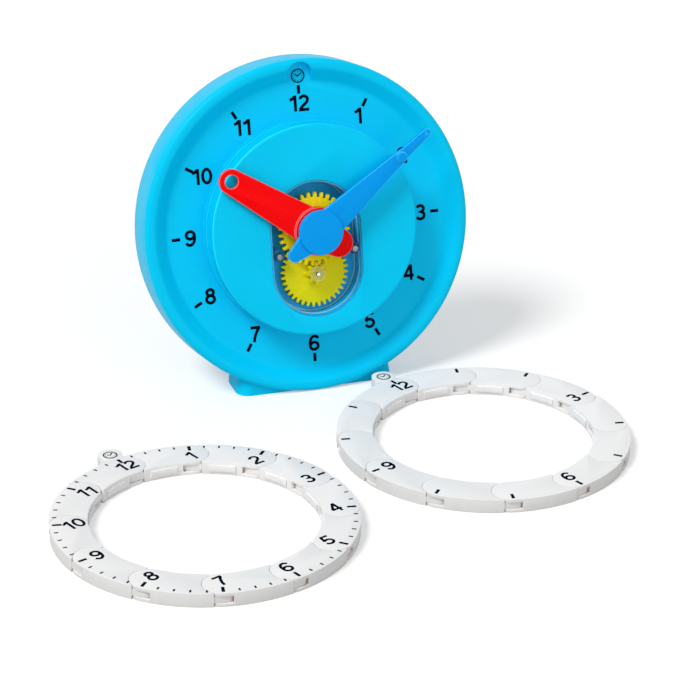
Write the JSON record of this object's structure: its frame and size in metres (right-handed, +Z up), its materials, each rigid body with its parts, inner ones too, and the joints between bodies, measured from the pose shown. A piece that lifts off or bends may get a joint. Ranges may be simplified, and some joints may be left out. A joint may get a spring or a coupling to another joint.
{
  "type": "geared teaching clock",
  "caption": "Free-standing teaching clock: leaning round case, geared hour and minute hands over a clear window, and hinged dial rings that open into a line and seat in the dial.",
  "frame": {"origin": "on the table under the clock, on the flat bottom of its rear foot, in its middle plane", "axes": "+Z up, -Y towards the reader of the dial, +X to the reader's right"},
  "size_m": [0.5375, 0.4612, 0.2969],
  "materials": {
    "case_blue": "satin moulded",
    "tray_blue": "satin moulded",
    "window_clear": "clear polished",
    "screw_steel": "plated",
    "gear_yellow": "satin moulded",
    "hour_red": "gloss moulded",
    "minute_blue": "gloss moulded",
    "ring_white": "satin moulded"
  },
  "bodies": {
    "case": {"front_case": "case_blue", "rear_cover": "case_blue", "gear_tray": "tray_blue", "gear_window": "window_clear", "window_screws": "screw_steel", "tray_screws": "screw_steel", "case_screws": "screw_steel", "centre_axle": "screw_steel", "idler_axle": "screw_steel"},
    "minute_hand_set": {"minute_arbor": "gear_yellow", "minute_hand": "minute_blue", "hand_screw": "screw_steel", "hub_cap": "minute_blue"},
    "hour_hand_set": {"hour_wheel": "gear_yellow", "hour_hand": "hour_red"},
    "idler": {"idler_gear": "gear_yellow"},
    "minute_ring_01": {"minute_ring_01": "ring_white"},
    "minute_ring_02": {"minute_ring_02": "ring_white"},
    "minute_ring_03": {"minute_ring_03": "ring_white"},
    "minute_ring_04": {"minute_ring_04": "ring_white"},
    "minute_ring_05": {"minute_ring_05": "ring_white"},
    "minute_ring_06": {"minute_ring_06": "ring_white"},
    "minute_ring_07": {"minute_ring_07": "ring_white"},
    "minute_ring_08": {"minute_ring_08": "ring_white"},
    "minute_ring_09": {"minute_ring_09": "ring_white"},
    "minute_ring_10": {"minute_ring_10": "ring_white"},
    "minute_ring_11": {"minute_ring_11": "ring_white"},
    "minute_ring_12": {"minute_ring_12": "ring_white"},
    "hour_ring_01": {"hour_ring_01": "ring_white"},
    "hour_ring_02": {"hour_ring_02": "ring_white"},
    "hour_ring_03": {"hour_ring_03": "ring_white"},
    "hour_ring_04": {"hour_ring_04": "ring_white"},
    "hour_ring_05": {"hour_ring_05": "ring_white"},
    "hour_ring_06": {"hour_ring_06": "ring_white"},
    "hour_ring_07": {"hour_ring_07": "ring_white"},
    "hour_ring_08": {"hour_ring_08": "ring_white"},
    "hour_ring_09": {"hour_ring_09": "ring_white"},
    "hour_ring_10": {"hour_ring_10": "ring_white"},
    "hour_ring_11": {"hour_ring_11": "ring_white"},
    "hour_ring_12": {"hour_ring_12": "ring_white"}
  },
  "joints": [
    {"name": "minute_hand_turn", "type": "hinge", "parent": "case", "child": "minute_hand_set", "pos_m": [0, -0.04919, 0.15673], "axis": [0, -0.9734, 0.2292], "continuous": true},
    {"name": "hour_hand_turn", "type": "hinge", "parent": "case", "child": "hour_hand_set", "pos_m": [0, -0.03945, 0.15444], "axis": [0, -0.9734, 0.2292], "continuous": true},
    {"name": "idler_turn", "type": "hinge", "parent": "case", "child": "idler", "pos_m": [0, -0.03421, 0.11129], "axis": [0, -0.9734, 0.2292], "continuous": true},
    {"name": "minute_ring_lift", "type": "slide", "parent": "case", "child": "minute_ring_03", "axis": [0, 0, 1], "range_m": [0, 0.035]},
    {"name": "minute_ring_open", "type": "hinge", "parent": "minute_ring_03", "child": "minute_ring_04", "pos_m": [-0.06488, -0.23428, 0.0062], "axis": [0, 0, 1], "range_deg": [0, 30]},
    {"name": "minute_ring_hinge_04", "type": "hinge", "parent": "minute_ring_04", "child": "minute_ring_05", "pos_m": [-0.05898, -0.29289, 0.0062], "axis": [0, 0, 1], "range_deg": [0, 30]},
    {"name": "minute_ring_hinge_05", "type": "hinge", "parent": "minute_ring_05", "child": "minute_ring_06", "pos_m": [-0.08317, -0.3466, 0.0062], "axis": [0, 0, 1], "range_deg": [0, 30]},
    {"name": "minute_ring_hinge_06", "type": "hinge", "parent": "minute_ring_06", "child": "minute_ring_07", "pos_m": [-0.13098, -0.38102, 0.0062], "axis": [0, 0, 1], "range_deg": [0, 30]},
    {"name": "minute_ring_hinge_07", "type": "hinge", "parent": "minute_ring_07", "child": "minute_ring_08", "pos_m": [-0.18959, -0.38692, 0.0062], "axis": [0, 0, 1], "range_deg": [0, 30]},
    {"name": "minute_ring_hinge_08", "type": "hinge", "parent": "minute_ring_08", "child": "minute_ring_09", "pos_m": [-0.2433, -0.36273, 0.0062], "axis": [0, 0, 1], "range_deg": [0, 30]},
    {"name": "minute_ring_hinge_09", "type": "hinge", "parent": "minute_ring_09", "child": "minute_ring_10", "pos_m": [-0.27772, -0.31492, 0.0062], "axis": [0, 0, 1], "range_deg": [0, 30]},
    {"name": "minute_ring_hinge_10", "type": "hinge", "parent": "minute_ring_10", "child": "minute_ring_11", "pos_m": [-0.28362, -0.25631, 0.0062], "axis": [0, 0, 1], "range_deg": [0, 30]},
    {"name": "minute_ring_hinge_11", "type": "hinge", "parent": "minute_ring_11", "child": "minute_ring_12", "pos_m": [-0.25943, -0.2026, 0.0062], "axis": [0, 0, 1], "range_deg": [0, 30]},
    {"name": "minute_ring_hinge_02", "type": "hinge", "parent": "minute_ring_03", "child": "minute_ring_02", "pos_m": [-0.0993, -0.18647, 0.0062], "axis": [0, 0, -1], "range_deg": [0, 30]},
    {"name": "minute_ring_hinge_01", "type": "hinge", "parent": "minute_ring_02", "child": "minute_ring_01", "pos_m": [-0.15301, -0.16228, 0.0062], "axis": [0, 0, -1], "range_deg": [0, 30]},
    {"name": "hour_ring_lift", "type": "slide", "parent": "case", "child": "hour_ring_01", "axis": [0, -0.3, 0.9539], "range_m": [0, 0.0865]},
    {"name": "hour_ring_open", "type": "hinge", "parent": "hour_ring_01", "child": "hour_ring_02", "pos_m": [0.12489, -0.08228, 0.0062], "axis": [0, 0, 1], "range_deg": [0, 30]},
    {"name": "hour_ring_hinge_02", "type": "hinge", "parent": "hour_ring_02", "child": "hour_ring_03", "pos_m": [0.1786, -0.10647, 0.0062], "axis": [0, 0, 1], "range_deg": [0, 30]},
    {"name": "hour_ring_hinge_03", "type": "hinge", "parent": "hour_ring_03", "child": "hour_ring_04", "pos_m": [0.21302, -0.15428, 0.0062], "axis": [0, 0, 1], "range_deg": [0, 30]},
    {"name": "hour_ring_hinge_04", "type": "hinge", "parent": "hour_ring_04", "child": "hour_ring_05", "pos_m": [0.21892, -0.21289, 0.0062], "axis": [0, 0, 1], "range_deg": [0, 30]},
    {"name": "hour_ring_hinge_05", "type": "hinge", "parent": "hour_ring_05", "child": "hour_ring_06", "pos_m": [0.19473, -0.2666, 0.0062], "axis": [0, 0, 1], "range_deg": [0, 30]},
    {"name": "hour_ring_hinge_06", "type": "hinge", "parent": "hour_ring_06", "child": "hour_ring_07", "pos_m": [0.14692, -0.30102, 0.0062], "axis": [0, 0, 1], "range_deg": [0, 30]},
    {"name": "hour_ring_hinge_07", "type": "hinge", "parent": "hour_ring_07", "child": "hour_ring_08", "pos_m": [0.08831, -0.30692, 0.0062], "axis": [0, 0, 1], "range_deg": [0, 30]},
    {"name": "hour_ring_hinge_08", "type": "hinge", "parent": "hour_ring_08", "child": "hour_ring_09", "pos_m": [0.0346, -0.28273, 0.0062], "axis": [0, 0, 1], "range_deg": [0, 30]},
    {"name": "hour_ring_hinge_09", "type": "hinge", "parent": "hour_ring_09", "child": "hour_ring_10", "pos_m": [0.00018, -0.23492, 0.0062], "axis": [0, 0, 1], "range_deg": [0, 30]},
    {"name": "hour_ring_hinge_10", "type": "hinge", "parent": "hour_ring_10", "child": "hour_ring_11", "pos_m": [-0.00572, -0.17631, 0.0062], "axis": [0, 0, 1], "range_deg": [0, 30]},
    {"name": "hour_ring_hinge_11", "type": "hinge", "parent": "hour_ring_11", "child": "hour_ring_12", "pos_m": [0.01847, -0.1226, 0.0062], "axis": [0, 0, 1], "range_deg": [0, 30]}
  ],
  "couplings": [
    {"joint": "hour_hand_turn", "follows": "minute_hand_turn", "ratio": 0.083333},
    {"joint": "idler_turn", "follows": "minute_hand_turn", "ratio": -0.33333},
    {"joint": "minute_ring_hinge_04", "follows": "minute_ring_open", "ratio": 1},
    {"joint": "minute_ring_hinge_05", "follows": "minute_ring_open", "ratio": 1},
    {"joint": "minute_ring_hinge_06", "follows": "minute_ring_open", "ratio": 1},
    {"joint": "minute_ring_hinge_07", "follows": "minute_ring_open", "ratio": 1},
    {"joint": "minute_ring_hinge_08", "follows": "minute_ring_open", "ratio": 1},
    {"joint": "minute_ring_hinge_09", "follows": "minute_ring_open", "ratio": 1},
    {"joint": "minute_ring_hinge_10", "follows": "minute_ring_open", "ratio": 1},
    {"joint": "minute_ring_hinge_11", "follows": "minute_ring_open", "ratio": 1},
    {"joint": "minute_ring_hinge_02", "follows": "minute_ring_open", "ratio": 1},
    {"joint": "minute_ring_hinge_01", "follows": "minute_ring_open", "ratio": 1},
    {"joint": "hour_ring_hinge_02", "follows": "hour_ring_open", "ratio": 1},
    {"joint": "hour_ring_hinge_03", "follows": "hour_ring_open", "ratio": 1},
    {"joint": "hour_ring_hinge_04", "follows": "hour_ring_open", "ratio": 1},
    {"joint": "hour_ring_hinge_05", "follows": "hour_ring_open", "ratio": 1},
    {"joint": "hour_ring_hinge_06", "follows": "hour_ring_open", "ratio": 1},
    {"joint": "hour_ring_hinge_07", "follows": "hour_ring_open", "ratio": 1},
    {"joint": "hour_ring_hinge_08", "follows": "hour_ring_open", "ratio": 1},
    {"joint": "hour_ring_hinge_09", "follows": "hour_ring_open", "ratio": 1},
    {"joint": "hour_ring_hinge_10", "follows": "hour_ring_open", "ratio": 1},
    {"joint": "hour_ring_hinge_11", "follows": "hour_ring_open", "ratio": 1},
    {"joint": "hour_ring_lift", "follows": "hour_ring_open", "m_per_rad": 0.1642}
  ]
}
